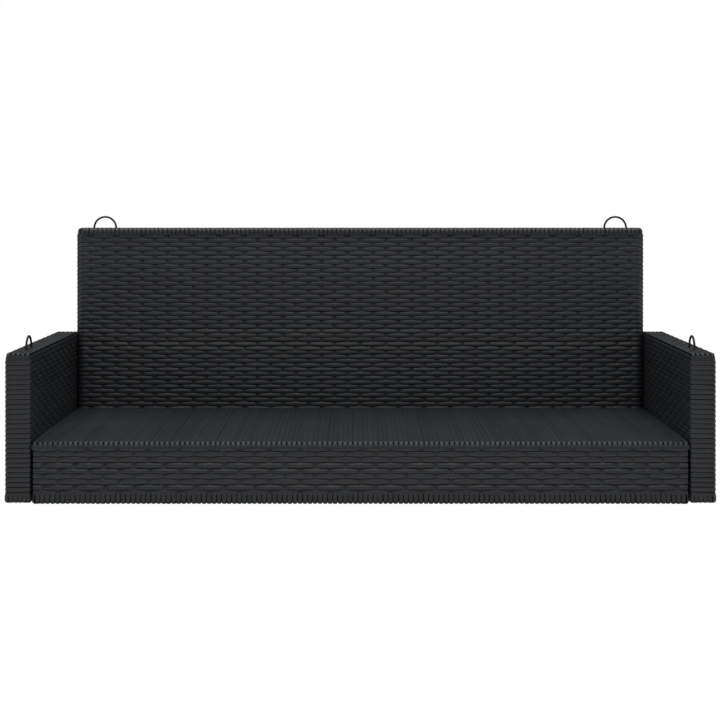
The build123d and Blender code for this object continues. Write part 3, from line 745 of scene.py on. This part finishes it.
def build_arm_top(side, low, high, seed):
    """Lengthwise strips over the arm's top, wrapped down over its front and rear, with a ring below."""
    strips = Strips(seed)
    inset = STRIP_THICKNESS / 2 + STRIP_CROWN
    ring = corners_of(low, high, inset + ARM_RING_INSET)
    flat, outward, _, _ = outline(ring, 0.0105, closed=True)
    mouth = high.z - ARM_RIM_TOP
    strips.add(lay_flat(flat, mouth + ARM_RING_RISE), lay_flat(outward, 0.0), ARM_RING_WIDTH, closed=True)
    middle, half = (low.x + high.x) / 2, (high.x - low.x) / 2
    flat_half = half - RIM_EDGE
    warps = even_places(low.y + 0.012, high.y - 0.012, ARM_WARP)
    pitch = (2 * flat_half + 1.4 * RIM_EDGE) / ARM_TOP_STRIPS
    front, rear = low.y + inset, high.y - inset
    for k in range(ARM_TOP_STRIPS):
        reach = (k - (ARM_TOP_STRIPS - 1) / 2) * pitch
        lean = max(0.0, abs(reach) - flat_half) / RIM_EDGE
        x = middle + math.copysign(min(abs(reach), flat_half) + RIM_EDGE * math.sin(lean), reach)
        drop = RIM_EDGE * (1 - math.cos(lean))
        top = high.z - inset - drop
        path = [(front + 0.003, mouth - 0.005), (front, mouth + 0.001), (front, top), (rear, top),
                (rear, mouth + 0.001), (rear - 0.003, mouth - 0.005)]
        section = outline(path, (MOUTH_BEND, ARM_TOP_BEND, ARM_TOP_BEND, MOUTH_BEND, 0.0), step=0.005)
        along = section[0][:, 0]
        height, _, dip = over_and_under(along, warps, k, depth=ARM_TOP_DEPTH)
        on_top = section[2] == 2
        height = np.where(on_top, height - ARM_TOP_DEPTH * WEFT_PLATEAU, 0.0)
        dip = np.where(on_top, dip, 0.0)
        points = np.insert(section[0], 0, x, axis=1)
        facing = np.insert(section[1], 0, 0.0, axis=1)
        facing[:, 0] = np.clip(facing[:, 2], 0, 1) * math.copysign(math.tan(lean), reach)
        facing = unit(facing)
        near_end = np.hypot(np.minimum(along - front, rear - along), section[0][:, 1] - top + 0.002)
        gather = ARM_TOP_GATHER * np.exp(-(near_end / 0.006) ** 2)
        width = ARM_TOP_LAP * pitch * (1 - ARM_TOP_DRAW * dip - gather)
        strips.add(points + facing * height[:, None], facing, width,
                   crown=ARM_TOP_CROWN * (1 - ARM_TOP_FLATTEN * dip),
                   twist=strips.rng.normal(0, WRAP_TWIST))
    add_arm_top_warps(strips, low, high, warps, inset)
    place(strips.mesh_object(f"arm_{side}_top_strips", WORN_STRIP), "woven_rim", f"arm_{side}_rim_top")


def add_arm_top_warps(strips, low, high, warps, inset):
    """The crosswise strips that the arm's top strips go over and under."""
    inset = inset + ARM_TOP_WARP_INSET
    left, right = low.x + inset, high.x - inset
    top, foot = high.z - inset, high.z - ARM_TOP_WARP_DEPTH
    path = [(left, foot), (left, top), (right, top), (right, foot)]
    flat, outward, _, _ = outline(path, (RIM_EDGE, RIM_EDGE, 0.0), step=0.003)
    share = run_length(flat)
    share = share / share[-1]
    swing = ARM_TOP_SWING * np.sin(math.pi * ARM_TOP_STRIPS * (share - 0.5) + math.pi / 2)
    for k, y in enumerate(warps):
        lift = swing * (-1 if k % 2 else 1)
        points = np.insert(flat + outward * lift[:, None], 1, y, axis=1)
        strips.add(points, np.insert(outward, 1, 0.0, axis=1), WARP_WIDTH, WARP_THICKNESS, 0.0003)


build_back()
build_seat()
build_apron()
build_arm("left", 31)
build_arm("right", 41)


# ---- stage, light and camera ----
FRONT_LIGHT = 42.0
TOP_LIGHT = 122.0
SIDE_LIGHT = 7.0
ROOM_LIGHT = 0.155
FLOOR_SIZE = 30.0
FLOOR_BELOW = 0.004         # under the frame's z = 0, so that it stays clear of the wraps
CAMERA_LENS = 78.8
CAMERA_SHIFT = (0.0019, -0.2185)
CAMERA_SIDE = -0.004
CAMERA_AWAY = 3.457         # from the bench's front
CAMERA_HEIGHT = 0.659


def camera_sees_white(nodes, links, lit, surface):
    """White to the camera, like a studio sweep, and its own shader to everything else."""
    rays = add_node(nodes, "ShaderNodeLightPath")
    white = add_node(nodes, "ShaderNodeEmission", Color=(1, 1, 1, 1), Strength=1.0)
    mix = add_node(nodes, "ShaderNodeMixShader")
    links.new(rays.outputs["Is Camera Ray"], mix.inputs["Fac"])
    links.new(lit, mix.inputs[1])
    links.new(white.outputs["Emission"], mix.inputs[2])
    links.new(mix.outputs["Shader"], surface)


def build_stage():
    mesh = bpy.data.meshes.new("floor")
    half = FLOOR_SIZE / 2
    mesh.from_pydata([(-half, -half, 0), (half, -half, 0), (half, half, 0), (-half, half, 0)], [],
                     [(0, 1, 2, 3)])
    floor = bpy.data.objects.new("floor", mesh)
    floor.location.z = -FLOOR_BELOW
    bpy.context.scene.collection.objects.link(floor)
    material, nodes, links, principled = shader("pale_floor", 0.9, 0.1)
    principled.inputs["Base Color"].default_value = (0.8, 0.8, 0.8, 1)
    camera_sees_white(nodes, links, principled.outputs["BSDF"],
                      nodes["Material Output"].inputs["Surface"])
    mesh.materials.append(material)


def area_light(name, place_at, target, size, power):
    data = bpy.data.lights.new(name, "AREA")
    data.shape = "RECTANGLE"
    data.size, data.size_y = size
    data.energy = power
    light = bpy.data.objects.new(name, data)
    light.location = place_at
    light.rotation_euler = (Vector(target) - Vector(place_at)).to_track_quat("-Z", "Y").to_euler()
    bpy.context.scene.collection.objects.link(light)


def build_light():
    world = bpy.data.worlds.new("studio")
    world.use_nodes = True
    nodes, links = world.node_tree.nodes, world.node_tree.links
    room = nodes["Background"]
    room.inputs["Color"].default_value = (0.95, 0.98, 1.0, 1)
    room.inputs["Strength"].default_value = ROOM_LIGHT
    camera_sees_white(nodes, links, room.outputs["Background"], nodes["World Output"].inputs["Surface"])
    bpy.context.scene.world = world
    bpy.context.scene.view_settings.view_transform = "Standard"
    area_light("front", (0.0, -4.8, 3.0), (0, 0, 0.3), (3.4, 1.6), FRONT_LIGHT)
    area_light("top", (0.0, 0.0, 3.4), (0, 0, 0.2), (5.0, 3.6), TOP_LIGHT)
    area_light("left", (-3.2, -0.9, 1.0), (0.7, 0, 0.2), (0.35, 0.5), SIDE_LIGHT)
    area_light("right", (3.2, -0.9, 1.0), (-0.7, 0, 0.2), (0.35, 0.5), SIDE_LIGHT)


def build_camera():
    low = cad_box[0]
    data = bpy.data.cameras.new("camera")
    data.sensor_width = 36.0
    data.lens = CAMERA_LENS
    data.shift_x, data.shift_y = CAMERA_SHIFT
    camera = bpy.data.objects.new("camera", data)
    camera.location = (CAMERA_SIDE, low.y - CAMERA_AWAY, CAMERA_HEIGHT)
    camera.rotation_euler = (math.pi / 2, 0, 0)
    bpy.context.scene.collection.objects.link(camera)
    bpy.context.scene.camera = camera


build_stage()
build_light()
build_camera()
